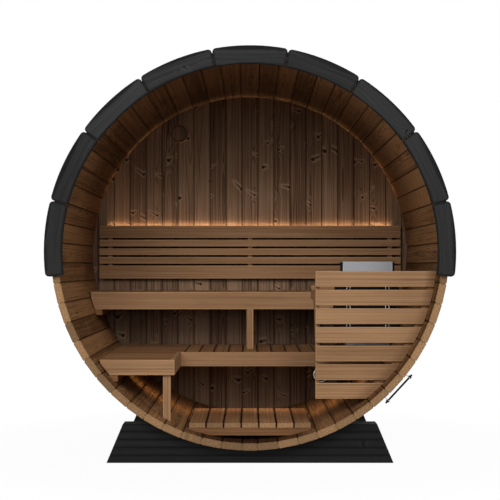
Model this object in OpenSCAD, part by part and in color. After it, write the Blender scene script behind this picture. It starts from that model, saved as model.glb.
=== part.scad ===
// Barrel sauna: a lying stave barrel on two cradles, with an open front and its benches,
// floor grate, heater guard and heater inside.
// X runs across the barrel, Y from the open front to the back, Z up from the ground.
// Depths are measured from the front ends of the staves, heights from the ground.

/* [Barrel] */
// Outer diameter across the stave joints
barrel_d = 2060; // [1950:10:2250]
// Length of the staves
stave_len = 1600; // [1560:10:2200]
// Thickness of a stave
stave_t = 38; // [30:1:44]
// Number of full staves
stave_count = 59; // [53:1:65]
// Outer width of the narrow closing stave at the bottom
key_w = 83; // [50:1:105]
// Bevel on the long edges of each stave
stave_bevel = 5; // [1:0.5:6]
// Open joint between two staves or boards
joint_gap = 0.5; // [0.2:0.1:1]
// Thickness of the tongues of staves and wall boards
tongue_t = 10; // [8:0.5:12]
// Length of the tongues
tongue_l = 8; // [5:0.5:10]
// Depth of the groove that holds the back wall
croze_d = 10; // [6:1:15]

/* [Back wall] */
// Length of the staves behind the back wall
back_overhang = 110; // [30:5:140]
// Thickness of the back wall
wall_t = 40; // [28:1:45]
// Cover width of one wall board
wall_board_w = 101; // [80:1:140]
// Bevel on the long edges of each wall board
wall_bevel = 3; // [1:0.5:5]
// Distance of the vents' middles from the inside of the staves
vent_inset = 108; // [90:0.2:140]
// Slope of the line through both vents and the barrel's axis
vent_angle = 59.4; // [55:0.1:62]
// Diameter of the vent holes
vent_hole_d = 90; // [60:1:100]
// Diameter of the wooden vent's cover
wood_vent_d = 114; // [110:1:140]
// Diameter of the steel vent's collar
steel_vent_d = 98; // [97:0.5:110]
// Height of the steel vent's raised rim
vent_rim_h = 12; // [8:1:16]
// Width of the steel vent's raised rim
vent_rim_w = 6; // [4:0.5:6.5]
// Wall of the steel vent's tube
vent_tube_t = 4; // [2:0.5:6]

/* [Roof and edge boards] */
// Number of curved edge boards on each end
edge_count = 9; // [7:1:13]
// Angle that the roof and its edge boards cover
roof_angle = 194.4; // [180:0.1:210]
// Thickness of an edge board
edge_t = 28; // [18:1:40]
// How far an edge board reaches inside the staves
edge_in = 22; // [8:1:28]
// How far an edge board stands above the barrel
edge_out = 31; // [24:0.5:50]
// Corner cut of an edge board
edge_corner = 12; // [2:1:16]
// Open joint between two edge boards
edge_gap = 3; // [1:0.5:6]
// Thickness of the roof covering
roof_t = 10; // [6:1:16]

/* [Bands] */
// Width of a steel band
band_w = 40; // [25:1:50]
// Thickness of a steel band
band_t = 1.5; // [1:0.1:2.5]
// Distance of each band's middle from the nearest stave ends
band_inset = 75; // [60:1:90]
// Direction of the tensioners, seen from the front
tension_angle = -42.7; // [-60:0.1:-20]
// Length of a tension rod
rod_len = 202; // [180:1:240]
// Diameter of a tension rod
rod_d = 10; // [6:0.5:12]
// Height of a tension rod above the barrel
rod_rise = 28; // [24:1:44]
// Clear distance between the two lugs
lug_gap = 158; // [90:1:164]
// Length of a lug's foot along the band
lug_foot = 42; // [30:1:60]
// Thickness of a lug
lug_t = 3; // [2:0.5:6]

/* [Cradles] */
// Width of a cradle on the ground
cradle_w = 1509; // [1400:1:1700]
// Number of stacked beams in a cradle
cradle_beams = 5; // [4:1:6]
// Height of one beam
beam_h = 41; // [34:1:48]
// Thickness of a cradle, front to back
cradle_t = 120; // [80:1:160]
// Sideways run of the sloping ends for each unit of height
cradle_slope = 0.42; // [0.2:0.02:0.6]
// Distance of each cradle from the nearest stave ends
cradle_inset = 110; // [105:1:200]
// Clearance between the ground and the barrel
ground_gap = 80; // [60:1:110]

/* [Benches] */
// Height of the floor grate above the lowest stave
floor_rise = 88; // [80:1:110]
// Height of the lower bench above the floor grate
lower_rise = 333; // [320:1:360]
// Height of the upper bench above the lower one
upper_rise = 340; // [320:1:380]
// Depth of the lower bench
lower_depth = 731; // [680:1:800]
// Depth of the upper bench
upper_depth = 440; // [400:1:500]
// Distance of the side bench, guard and floor from the front
front_setback = 132; // [120:1:150]
// Inner edge of the side bench, left of the middle
side_bench_x = 398; // [380:1:430]
// Gap between the upper bench and the heater
heater_gap = 10; // [6:1:30]
// Pitch of the bench slats
bench_pitch = 83.5; // [75:0.5:95]
// Gap between two bench slats
bench_slat_gap = 7.5; // [4:0.5:12]
// Thickness of slats, front boards and guard slats
slat_t = 22; // [18:1:26]
// Height of the upper bench's front board
upper_apron_h = 104; // [95:1:120]
// Height of the lower bench's front board
lower_apron_h = 81; // [70:1:90]
// Thickness of the bearers
bearer_t = 28; // [22:1:40]
// Width of the wall ledgers that carry the bearers
ledger_w = 50; // [40:1:70]
// Height of the wall ledgers
ledger_h = 34; // [25:1:45]
// Width of the bench posts
post_w = 40; // [32:1:50]
// Gap between scribed ends and the staves
scribe_gap = 6; // [3:0.5:10]

/* [Backrest] */
// Height of the backrest above the upper bench
backrest_rise = 76; // [50:1:110]
// Gap between the backrest's ends and the staves
backrest_gap = 29; // [20:1:90]
// Height of the backrest's bottom slat
back_slat_low = 81; // [70:1:90]
// Height of the backrest's middle slats
back_slat_mid = 41; // [34:1:44]
// Height of the backrest's top slat
back_slat_top = 75; // [64:1:84]
// Number of the backrest's middle slats
back_mid_count = 3; // [2:1:3]
// Gap between two backrest slats
back_slat_gap = 13; // [8:1:18]
// Width of the backrest's battens
batten_w = 25; // [20:1:40]
// Distance of the outer battens' middles from the backrest's ends
batten_inset = 65; // [30:1:90]
// Side of the light strips
strip_w = 13; // [10:0.5:16]

/* [Floor grate] */
// Number of floor slats
floor_count = 7; // [5:1:7]
// Pitch of the floor slats
floor_pitch = 92.8; // [85:0.1:96]
// Gap between two floor slats
floor_gap = 8; // [5:0.5:12]
// Thickness of the floor slats
floor_t = 26; // [20:1:30]
// Length of the floor slats
floor_len = 686; // [600:1:760]
// Height of the bearers below the floor slats
floor_bearer_h = 40; // [30:1:50]

/* [Heater guard] */
// Number of guard slats
guard_count = 7; // [6:1:7]
// Pitch of the guard slats
guard_pitch = 98.4; // [90:0.2:100]
// Height of a guard slat
guard_slat_h = 82; // [74:1:88]
// How far the guard's left edge reaches in front of the upper bench
guard_lap = 151; // [146:1:170]
// Height of the guard's lower edge above the floor grate
guard_rise = 128; // [118:1:140]
// Depth of the guard's bracket arm, from the front of the guard
guard_arm = 510; // [440:1:540]
// Height of the bracket arm at its end
guard_arm_h = 54; // [40:1:64]
// Width of the shelf beside the heater
shelf_w = 130; // [110:1:135]
// Depth of the shelf
shelf_d = 56; // [40:1:80]
// Radial depth of the curved rib that holds the guard's right ends
rib_w = 40; // [28:1:60]
// Gap between the guard's slats and the staves
guard_scribe = 2; // [1:0.5:6]

/* [Heater] */
// Gap between the heater's shield and the staves, at its lower edge
heater_wall_gap = 10; // [8:1:30]
// Distance of the heater's face from the back wall
heater_reach = 562; // [540:1:580]
// Depth of the heater
heater_depth = 210; // [200:1:260]
// Width of the black shield
shield_w = 370; // [355:1:374]
// Height of the black shield
shield_h = 258; // [240:1:270]
// Thickness of the shield's sheet
shield_t = 3; // [2:0.5:5]
// Width of the steel core
core_w = 292; // [280:1:298]
// Height of the steel core
core_h = 468; // [440:1:480]
// Thickness of the black cheeks on the core's sides
cheek_t = 12; // [6:1:16]
// Depth of the cheeks, front to back
cheek_d = 40; // [20:1:80]
// Thickness of the core's rim round the stones
rim_t = 8; // [5:1:12]
// Depth of the core's stone basket
basket_d = 180; // [140:1:220]
// Height of the core's foot above the lower bench
heater_rise = 52; // [45:1:75]
// Diameter of the bars of the two loops
loop_bar_d = 6; // [4:0.5:8]
// Width of a loop between its bars' middles
loop_w = 20; // [16:1:24]
// Distance of the loops' middles from the heater's middle
loop_x = 114; // [105:1:120]

/* [Hidden] */
$fn = 96;

// Clearance between two pieces that seat on each other
seat = 0.3;
// Margin by which a cutting shape passes the face that it cuts
over = 5;
// Part of the core's spare height that lies below the shield
shield_share = 0.36;

// Barrel
barrel_r = barrel_d / 2;
axis_z = ground_gap + barrel_r;
key_deg = 2 * asin(key_w / barrel_d);
stave_deg = (360 - key_deg) / stave_count;
stave_total = stave_count + 1;
inner_r = barrel_r * cos(stave_deg / 2) - stave_t;
tongue_r = barrel_r - stave_t / 2;
stave_groups = 12;
wall_r = inner_r + croze_d - seat;
wall_back = stave_len - back_overhang;
room_depth = wall_back - wall_t;
vent_r = inner_r - vent_inset;
// Half the inner width of the barrel at a height
function half_width(z) = sqrt(pow(inner_r, 2) - pow(axis_z - z, 2));

// Roof
edge_deg = roof_angle / edge_count;
roof_start = 90 - roof_angle / 2;
band_r = barrel_r + seat;
roof_r = band_r + band_t + seat;

// Heights and depths of the fittings
inner_bottom = axis_z - inner_r;
floor_z = inner_bottom + floor_rise;
lower_z = floor_z + lower_rise;
upper_z = lower_z + upper_rise;
lower_front = room_depth - lower_depth;
upper_front = room_depth - upper_depth;
guard_back = front_setback + slat_t;
guard_z = floor_z + guard_rise;
guard_top = guard_z + (guard_count - 1) * guard_pitch + guard_slat_h;
ledger_top = lower_z - lower_apron_h - seat;
side_x = side_bench_x + slat_t + seat;
// Middle of the gap where the cross slats meet the lower bench's own slats
cross_x = (floor(side_bench_x / bench_pitch) + 0.5) * bench_pitch;
cross_end = cross_x + bench_slat_gap / 2;
lower_back = lower_front + slat_t + seat;
shelf_z = upper_z + slat_t;
backrest_z = upper_z + backrest_rise;
backrest_top = backrest_z + back_slat_low + back_mid_count * (back_slat_mid + back_slat_gap)
    + back_slat_gap + back_slat_top;
backrest_face = room_depth - seat - bearer_t;
backrest_half = min(half_width(backrest_z), half_width(backrest_top)) - backrest_gap;
batten_x = backrest_half - batten_inset;
heater_front = room_depth - heater_reach;
core_z = lower_z + heater_rise;
core_front = heater_front + shield_t + seat;
core_top = core_z + core_h;
core_foot = 3 * rim_t;
shield_z = core_z + (core_h - shield_h) * shield_share;
heater_x = half_width(shield_z) - heater_wall_gap - shield_w / 2;
upper_right_x = heater_x - shield_w / 2 - heater_gap;
guard_x = upper_right_x - guard_lap;

wood = "#8a5f3f";
dark_wood = "#5f4030";
charcoal = "#363637";
steel = "#b8b8ba";

// A circle about the barrel's axis, fine enough for its size.
module barrel_circle(r) {
    circle(r, $fn = 720);
}

// A flat profile in X and Z, run from one depth to another.
module span(from, to) {
    translate([0, to - stave_len / 2, 0])
        rotate([90, 0, 0])
            linear_extrude(to - from)
                children();
}

// A box given by its X, depth and Z limits.
module block(x, d, z) {
    translate([x[0], d[0] - stave_len / 2, z[0]])
        cube([x[1] - x[0], d[1] - d[0], z[1] - z[0]]);
}

// A rectangle in X and Z, scribed to the inside of the barrel.
module scribed(x, z, gap) {
    intersection() {
        translate([x[0], z[0]])
            square([x[1] - x[0], z[1] - z[0]]);
        translate([0, axis_z])
            barrel_circle(inner_r - gap);
    }
}

// Cross-section of a stave that spans twice the given angle, radial direction up.
module stave_profile(half) {
    top = barrel_r * cos(half);
    low = top - stave_t;
    top_w = top * tan(half) - joint_gap / 2;
    low_w = low * tan(half) - joint_gap / 2;
    lean = stave_bevel * tan(half);
    // A point on the flank at a distance from the barrel's axis, moved square to the flank
    function flank(r, out) =
        [r * sin(half) - joint_gap / 2 + out * cos(half), r * cos(half) - out * sin(half)];
    // One edge from the inside outwards, with a tongue or, for a negative length, a groove
    function edge(length, play) = [
        [low_w - stave_bevel, low],
        [low_w + lean, low + stave_bevel],
        flank(tongue_r - tongue_t / 2 - play, 0),
        flank(tongue_r - tongue_t / 2 - play, length),
        flank(tongue_r + tongue_t / 2 + play, length),
        flank(tongue_r + tongue_t / 2 + play, 0),
        [top_w - lean, top - stave_bevel],
        [top_w - stave_bevel, top]
    ];
    groove = edge(-tongue_l, seat);
    polygon(concat(edge(tongue_l, 0), [for (i = [len(groove) - 1:-1:0]) [-groove[i][0], groove[i][1]]]));
}

// One stave, with the groove for the back wall, at its place round the barrel.
module stave(index) {
    half = (index == 0 ? key_deg : stave_deg) / 2;
    middle = index == 0 ? -90 : -90 + key_deg / 2 + (index - 0.5) * stave_deg;
    flat = barrel_r * cos(half) - stave_t;
    reach = barrel_r * sin(half) + tongue_l;
    translate([0, 0, axis_z])
        rotate([0, 90 - middle, 0])
            difference() {
                span(0, stave_len)
                    stave_profile(half);
                block([-reach, reach],
                      [room_depth - seat, wall_back + seat],
                      [flat - over, inner_r + croze_d]);
            }
}

// The staves of one of the equal groups, counted from the bottom anticlockwise.
module staves(group) {
    shift = floor(stave_total / stave_groups / 2);
    color(dark_wood)
        for (index = [0:stave_count])
            if (floor(((index + shift) % stave_total) * stave_groups / stave_total) == group)
                stave(index);
}

// A curved board between two radii, pointing up, with cut outer corners.
module arc_board(inner, outer, deg, gap, corner) {
    function edge(r, inset, side) =
        [side * (r * sin(deg / 2) - inset * cos(deg / 2)), r * cos(deg / 2) + inset * sin(deg / 2)];
    far = outer / cos(deg / 2) + over;
    function flank(side) = [
        edge(inner - over, gap / 2, side),
        edge(outer - corner, gap / 2, side),
        edge(outer, gap / 2 + corner, side),
        edge(far, gap / 2 + corner, side)
    ];
    left = flank(-1);
    intersection() {
        difference() {
            barrel_circle(outer);
            barrel_circle(inner);
        }
        polygon(concat(flank(1), [for (i = [3:-1:0]) left[i]]));
    }
}

module edge_boards(from) {
    color(charcoal)
        for (k = [0:edge_count - 1])
            span(from, from + edge_t)
                translate([0, axis_z])
                    rotate(roof_start + (k + 0.5) * edge_deg - 90)
                        arc_board(inner_r - edge_in, barrel_r + edge_out, edge_deg, edge_gap, edge_corner);
}

module front_edge_boards() {
    edge_boards(-seat - edge_t);
}

module back_edge_boards() {
    edge_boards(stave_len + seat);
}

module roof_covering() {
    color("#2b2b2d")
        for (k = [0:edge_count - 1])
            span(0, stave_len)
                translate([0, axis_z])
                    rotate(roof_start + (k + 0.5) * edge_deg - 90)
                        arc_board(roof_r, roof_r + roof_t, edge_deg, joint_gap, 0);
}

// Depths of the middles of the two bands.
band_depths = [band_inset, stave_len - band_inset];

module steel_bands() {
    color(steel)
        for (depth = band_depths)
            span(depth - band_w / 2, depth + band_w / 2)
                translate([0, axis_z])
                    difference() {
                        barrel_circle(band_r + band_t);
                        barrel_circle(band_r);
                        rotate(tension_angle - 90)
                            translate([-lug_gap / 2, barrel_r / 2])
                                square([lug_gap, barrel_r]);
                    }
}

// One lug on the band's end, seen along the barrel with the rod level.
module lug_profile() {
    base = band_r + band_t + seat;
    difference() {
        union() {
            intersection() {
                barrel_circle(base + lug_t);
                translate([lug_gap / 2, barrel_r / 2])
                    square([lug_foot, barrel_r]);
            }
            translate([lug_gap / 2, barrel_r / 2])
                square([lug_t, barrel_r / 2 + rod_rise + rod_d]);
        }
        barrel_circle(base);
    }
}

module band_tensioners() {
    nut_w = rod_d * 1.8;
    nut_h = rod_d * 0.8;
    color(steel)
        for (depth = band_depths)
            translate([0, 0, axis_z])
                rotate([0, 90 - tension_angle, 0]) {
                    for (side = [0, 1])
                        mirror([side, 0, 0])
                            difference() {
                                span(depth - band_w / 2, depth + band_w / 2)
                                    lug_profile();
                                translate([0, depth - stave_len / 2, barrel_r + rod_rise])
                                    rotate([0, 90, 0])
                                        cylinder(d = rod_d + 2 * seat, h = rod_len);
                            }
                    translate([0, depth - stave_len / 2, barrel_r + rod_rise])
                        rotate([0, 90, 0]) {
                            cylinder(d = rod_d, h = rod_len, center = true);
                            for (side = [0, 1])
                                mirror([0, 0, side])
                                    translate([0, 0, lug_gap / 2 + lug_t + seat])
                                        cylinder(d = nut_w, h = nut_h, $fn = 6);
                        }
                }
}

// A cradle of stacked beams with sloping ends and a saddle for the barrel.
module cradle(from) {
    color("#1f1f20")
        for (k = [0:cradle_beams - 1])
            span(from, from + cradle_t)
                difference() {
                    low = k * beam_h;
                    high = low + beam_h - joint_gap;
                    polygon([
                        [-cradle_w / 2 + low * cradle_slope, low],
                        [cradle_w / 2 - low * cradle_slope, low],
                        [cradle_w / 2 - high * cradle_slope, high],
                        [-cradle_w / 2 + high * cradle_slope, high]
                    ]);
                    translate([0, axis_z])
                        barrel_circle(barrel_r + seat);
                }
}

module front_cradle() {
    cradle(cradle_inset);
}

module rear_cradle() {
    cradle(stave_len - cradle_inset - cradle_t);
}

// Plan of one wall board, with beveled edges on both faces, a tongue and a groove.
module wall_board_plan() {
    half = (wall_board_w - joint_gap) / 2;
    low = (wall_t - tongue_t) / 2;
    high = (wall_t + tongue_t) / 2;
    polygon([
        [-half + wall_bevel, 0], [half - wall_bevel, 0], [half, wall_bevel],
        [half, low], [half + tongue_l, low], [half + tongue_l, high], [half, high],
        [half, wall_t - wall_bevel], [half - wall_bevel, wall_t],
        [-half + wall_bevel, wall_t], [-half, wall_t - wall_bevel],
        [-half, high + seat], [-half + tongue_l, high + seat],
        [-half + tongue_l, low - seat], [-half, low - seat],
        [-half, wall_bevel]
    ]);
}

// The two vents lie opposite each other about the barrel's axis.
module at_vent(side) {
    translate([side * vent_r * cos(vent_angle), room_depth - stave_len / 2,
               axis_z - side * vent_r * sin(vent_angle)])
        rotate([-90, 0, 0])
            children();
}

module back_wall() {
    side_boards = ceil(wall_r / wall_board_w - 0.5);
    color(dark_wood)
        for (k = [-side_boards:side_boards])
            difference() {
                intersection() {
                    translate([k * wall_board_w, room_depth - stave_len / 2, axis_z - wall_r - over])
                        linear_extrude(2 * (wall_r + over))
                            wall_board_plan();
                    span(room_depth - over, wall_back + over)
                        translate([0, axis_z])
                            barrel_circle(wall_r);
                }
                for (side = [-1, 1])
                    if (abs(k * wall_board_w - side * vent_r * cos(vent_angle))
                        < (wall_board_w + vent_hole_d) / 2 + tongue_l)
                        at_vent(side)
                            translate([0, 0, -over])
                                cylinder(d = vent_hole_d, h = wall_t + 2 * over);
            }
}

// A vent plug: a cover on the room side and a spigot through the wall.
module vent(cover_t, cover_d) {
    translate([0, 0, -cover_t - seat])
        cylinder(d = cover_d, h = cover_t);
    translate([0, 0, -over])
        cylinder(d = vent_hole_d - 2 * seat, h = wall_t + over);
}

// The wooden vent's cover has a turned groove inside its edge.
module wood_vent() {
    edge = 7;
    groove = 6;
    color(wood)
        at_vent(-1)
            difference() {
                vent(slat_t, wood_vent_d);
                translate([0, 0, -slat_t - over])
                    difference() {
                        cylinder(d = wood_vent_d - 2 * edge, h = over + groove);
                        cylinder(d = wood_vent_d - 2 * (edge + groove), h = over + groove);
                    }
            }
}

module steel_vent() {
    color(steel)
        at_vent(1)
            difference() {
                vent(vent_rim_h, steel_vent_d);
                translate([0, 0, -vent_rim_h - over])
                    cylinder(d = steel_vent_d - 2 * vent_rim_w, h = over + vent_rim_h / 2);
                translate([0, 0, -vent_rim_h])
                    cylinder(d = vent_hole_d - 2 * vent_tube_t, h = vent_rim_h + wall_t - vent_tube_t);
            }
}

module backrest_slats() {
    mid_z = backrest_z + back_slat_low + back_slat_gap;
    slats = concat(
        [[backrest_z, back_slat_low]],
        [for (k = [0:back_mid_count - 1]) [mid_z + k * (back_slat_mid + back_slat_gap), back_slat_mid]],
        [[backrest_top - back_slat_top, back_slat_top]]
    );
    color(wood)
        for (slat = slats)
            block([-backrest_half, backrest_half],
                  [backrest_face - seat - slat_t, backrest_face - seat],
                  [slat[0], slat[0] + slat[1]]);
}

module backrest_battens() {
    color(wood)
        for (k = [-1:1])
            block([k * batten_x - batten_w / 2, k * batten_x + batten_w / 2],
                  [backrest_face, room_depth - seat],
                  [backrest_z, backrest_top - 2 * strip_w]);
}

module light_strips() {
    color("#ffc37a") {
        block([-batten_x, batten_x],
              [room_depth - seat - strip_w, room_depth - seat],
              [backrest_top - 2 * strip_w + seat, backrest_top - strip_w]);
        block([-cross_x, cross_x],
              [lower_back + bearer_t + seat, lower_back + bearer_t + strip_w],
              [ledger_top + over, ledger_top + over + strip_w]);
    }
}

// Slats that run front to back between two X limits, scribed to the barrel. A slat whose lower face
// would be narrower than it is thick is left out, and the one beside it takes its place.
module bench_slats(x, d, top) {
    first = floor(x[0] / bench_pitch);
    last = ceil(x[1] / bench_pitch);
    reach = half_width(top - slat_t) - scribe_gap;
    function left(k) = max(x[0], (k - 0.5) * bench_pitch + bench_slat_gap / 2);
    function right(k) = min(x[1], (k + 0.5) * bench_pitch - bench_slat_gap / 2);
    function fits(k) = min(right(k), reach) - max(left(k), -reach) > slat_t;
    color(wood)
        span(d[0], d[1])
            for (k = [first:last])
                if (fits(k))
                    scribed([fits(k - 1) ? left(k) : x[0], fits(k + 1) ? right(k) : x[1]],
                            [top - slat_t, top], scribe_gap);
}

module upper_bench_slats() {
    bench_slats([-inner_r, upper_right_x], [upper_front + slat_t + seat, room_depth - seat], upper_z);
}

// The front board's upper corner is cut square where the staves come close.
module upper_bench_apron() {
    left = scribe_gap - half_width(upper_z - upper_apron_h / 3);
    color(wood)
        span(upper_front, upper_front + slat_t)
            scribed([left, upper_right_x], [upper_z - upper_apron_h, upper_z], scribe_gap);
}

// Bearers under the front and back ends of the slats, and the wall ledger that carries them.
module upper_bench_bearers() {
    low = upper_z - upper_apron_h;
    high = upper_z - slat_t - seat;
    front = upper_front + slat_t + seat;
    ledger_x = half_width(low);
    color(dark_wood) {
        for (d = [front, room_depth - seat - bearer_t])
            span(d, d + bearer_t)
                scribed([-inner_r, upper_right_x], [low, high], seat);
        span(upper_front, room_depth - seat)
            scribed([-inner_r, ledger_w - ledger_x], [low - seat - ledger_h, low - seat], seat);
    }
}

module lower_bench_slats() {
    bench_slats([bench_slat_gap / 2 - cross_x, inner_r], [lower_back, room_depth - seat], lower_z);
}

module lower_bench_apron() {
    color(wood)
        span(lower_front, lower_front + slat_t)
            scribed([-side_bench_x - slat_t, inner_r], [lower_z - lower_apron_h, lower_z], scribe_gap);
}

// Cross bearers of the lower bench, bearers under the cross slats, and the ledgers on both walls.
module lower_bench_bearers() {
    low = lower_z - lower_apron_h;
    high = lower_z - slat_t - seat;
    ledger_x = half_width(ledger_top);
    // Front end, back end and right side of the bearers under the cross slats
    sides = [[guard_back + seat, lower_back - seat, -side_x],
             [lower_back + bearer_t + seat, room_depth - bearer_t - 2 * seat, -cross_end]];
    color(dark_wood) {
        for (d = [lower_back, room_depth - seat - bearer_t])
            span(d, d + bearer_t)
                scribed([-inner_r, inner_r], [low, high], seat);
        for (side = sides, x = [[-inner_r, bearer_t - half_width(low)], [side[2] - bearer_t, side[2]]])
            span(side[0], side[1])
                scribed(x, [low, high], seat);
        span(front_setback, room_depth - seat)
            scribed([-inner_r, ledger_w - ledger_x], [ledger_top - ledger_h, ledger_top], seat);
        span(lower_front, room_depth - seat)
            scribed([ledger_x - ledger_w, inner_r], [ledger_top - ledger_h, ledger_top], seat);
    }
}

// Slats that run across between two depths, from the staves to an X limit.
module cross_slats(from, to, right) {
    count = round((to - from) / bench_pitch);
    pitch = (to - from + bench_slat_gap) / count;
    for (k = [0:count - 1])
        span(from + k * pitch, from + (k + 1) * pitch - bench_slat_gap)
            scribed([-inner_r, right], [lower_z - slat_t, lower_z], scribe_gap);
}

// The side bench's slats run across, in front of the lower bench's front board and behind it.
module side_bench_slats() {
    color(wood) {
        cross_slats(guard_back + seat, lower_back - bench_slat_gap, -side_x);
        cross_slats(lower_back, room_depth - seat, -cross_end);
    }
}

// Front board of the side bench and the board along its inner edge.
module side_bench_aprons() {
    low = lower_z - lower_apron_h;
    // The front board's upper corner is cut square where the staves come close
    left = scribe_gap - half_width(lower_z - lower_apron_h / 4);
    color(wood) {
        span(front_setback, guard_back)
            scribed([left, -side_bench_x], [low, lower_z], scribe_gap);
        block([-side_bench_x - slat_t, -side_bench_x],
              [guard_back + seat, lower_front - seat],
              [low, lower_z]);
    }
}

// One post carries the side bench, the other stands on the lower bench under the upper one.
module bench_posts() {
    color(wood) {
        span(guard_back + seat, guard_back + seat + post_w)
            scribed([-side_x - post_w, -side_x], [inner_bottom, ledger_top], seat);
        block([-post_w / 2, post_w / 2],
              [upper_front, upper_front + post_w],
              [lower_z + seat, upper_z - upper_apron_h - seat]);
    }
}

module floor_slats() {
    color(wood)
        for (k = [0:floor_count - 1]) {
            middle = (k - (floor_count - 1) / 2) * floor_pitch;
            half = (floor_pitch - floor_gap) / 2;
            block([middle - half, middle + half],
                  [front_setback, front_setback + floor_len],
                  [floor_z - floor_t, floor_z]);
        }
}

module floor_bearers() {
    high = floor_z - floor_t - seat;
    reach = half_width(high);
    color(dark_wood)
        for (k = [0:2]) {
            d = front_setback + k * (floor_len - bearer_t) / 2;
            span(d, d + bearer_t)
                scribed([-reach, reach], [high - floor_bearer_h, high], seat);
        }
}

module guard_slats() {
    color(wood)
        span(front_setback, guard_back)
            for (k = [0:guard_count - 1]) {
                low = guard_z + k * guard_pitch;
                scribed([guard_x, inner_r], [low, low + guard_slat_h], guard_scribe);
            }
}

// Side bracket of the guard: a batten behind the slats with a tapering arm towards the bench.
module guard_bracket() {
    back = guard_back + slat_t;
    arm = front_setback + guard_arm;
    arm_low = shelf_z - guard_arm_h;
    // Where the brace under the arm starts and bends, below the shelf
    brace_low = shelf_z - 6 * guard_arm_h;
    brace_bend = shelf_z - 2.2 * guard_arm_h;
    function side(d, z) = [d - stave_len / 2, z];
    color(wood)
        translate([guard_x, 0, 0])
            rotate([90, 0, 90])
                linear_extrude(slat_t)
                    polygon([
                        side(guard_back + seat, guard_z), side(back, guard_z),
                        side(back, brace_low),
                        side(back + 4 * slat_t, brace_bend),
                        side(arm - guard_arm / 2, arm_low), side(arm, arm_low),
                        side(arm, shelf_z), side(back, shelf_z),
                        side(back, guard_top), side(guard_back + seat, guard_top)
                    ]);
}

// Curved rib on the staves that holds the right ends of the guard slats.
module guard_rib() {
    rib_r = inner_r - seat;
    low_deg = asin((guard_z - axis_z) / rib_r);
    high_deg = asin((guard_top - axis_z) / rib_r);
    color(dark_wood)
        span(guard_back + seat, guard_back + slat_t)
            translate([0, axis_z])
                rotate((low_deg + high_deg) / 2 - 90)
                    arc_board(rib_r - rib_w, rib_r, high_deg - low_deg, 0, 0);
}

// Small shelf between the bench and the heater, on the end of the bracket's arm.
module guard_shelf() {
    to = front_setback + guard_arm;
    color(wood)
        block([guard_x, guard_x + shelf_w], [to - shelf_d, to], [shelf_z + seat, shelf_z + slat_t]);
}

// Black sheet shield round the front and sides of the heater, and black cheeks on the core.
module heater_shield() {
    x = [heater_x - shield_w / 2, heater_x + shield_w / 2];
    z = [shield_z, shield_z + shield_h];
    d = [heater_front, heater_front + heater_depth];
    cheek = core_w / 2 + seat;
    color("#161617") {
        difference() {
            block(x, d, z);
            block([x[0] + shield_t, x[1] - shield_t], [d[0] + shield_t, d[1] + over],
                  [z[0] - over, z[1] + over]);
        }
        for (side = [0, 1])
            translate([heater_x, 0, 0])
                mirror([side, 0, 0])
                    block([cheek, cheek + cheek_t],
                          [core_front + 2 * shield_t, core_front + 2 * shield_t + cheek_d],
                          [shield_z, core_top - shield_t]);
    }
}

// Steel core with the open stone basket on top and a drip tray below.
module heater_core() {
    half = core_w / 2;
    d = [core_front, heater_front + heater_depth];
    color(steel)
        difference() {
            union() {
                block([heater_x - half, heater_x + half], d, [core_z, core_top]);
                block([heater_x - half + 2 * rim_t, heater_x + half - 2 * rim_t],
                      [d[0] + rim_t, d[1] - rim_t],
                      [core_z - core_foot, core_z + rim_t]);
            }
            block([heater_x - half + rim_t, heater_x + half - rim_t],
                  [d[0] + rim_t, d[1] - rim_t],
                  [core_top - basket_d, core_top + over]);
        }
}

module heater_stones() {
    half = core_w / 2 - rim_t - seat;
    color("#5a5753")
        block([heater_x - half, heater_x + half],
              [core_front + rim_t + seat, heater_front + heater_depth - rim_t - seat],
              [core_top - basket_d + seat, core_top - rim_t * 4]);
}

// Two bright loops of round bar on the shield's face.
module heater_loops() {
    stand_off = 3 * loop_bar_d;
    low = shield_z + 2 * loop_bar_d;
    high = shield_z + shield_h - 3 * loop_bar_d;
    color("#d8d8da")
        for (side = [-1, 1])
            translate([heater_x + side * loop_x, heater_front - stand_off - stave_len / 2, 0]) {
                for (bar = [-1, 1])
                    translate([bar * loop_w / 2, 0, 0]) {
                        translate([0, 0, low])
                            cylinder(d = loop_bar_d, h = high - low);
                        translate([0, 0, low + loop_bar_d])
                            rotate([-90, 0, 0])
                                cylinder(d = loop_bar_d, h = stand_off - seat);
                    }
                translate([0, 0, high])
                    rotate([90, 0, 0])
                        rotate_extrude(angle = 180)
                            translate([loop_w / 2, 0])
                                circle(d = loop_bar_d);
            }
}

// Two plates that hold the heater's back to the wall, and its four feet on the lower bench.
module heater_hanger() {
    back = heater_front + heater_depth + seat;
    foot = rim_t * 1.5;
    color("#3a3a3c")
        for (side = [-1, 1])
            translate([heater_x + side * core_w / 4, 0, 0]) {
                block([-shield_t, shield_t], [back, room_depth - seat],
                      [core_z + core_h / 3, core_z + core_h * 2 / 3]);
                for (d = [core_front + 2 * foot, back - 3 * foot])
                    block([-foot, foot], [d, d + 2 * foot], [lower_z + seat, core_z - core_foot - seat]);
            }
}

staves(0);  // staves_bottom
staves(1);  // staves_bottom_right
staves(2);  // staves_right_low
staves(3);  // staves_right
staves(4);  // staves_right_high
staves(5);  // staves_top_right
staves(6);  // staves_top
staves(7);  // staves_top_left
staves(8);  // staves_left_high
staves(9);  // staves_left
staves(10);  // staves_left_low
staves(11);  // staves_bottom_left
front_edge_boards();
back_edge_boards();
roof_covering();
steel_bands();
band_tensioners();
front_cradle();
rear_cradle();
back_wall();
wood_vent();
steel_vent();
backrest_slats();
backrest_battens();
light_strips();
upper_bench_slats();
upper_bench_apron();
upper_bench_bearers();
lower_bench_slats();
lower_bench_apron();
lower_bench_bearers();
side_bench_slats();
side_bench_aprons();
bench_posts();
floor_slats();
floor_bearers();
guard_slats();
guard_bracket();
guard_rib();
guard_shelf();
heater_shield();
heater_core();
heater_stones();
heater_loops();
heater_hanger();
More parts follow.
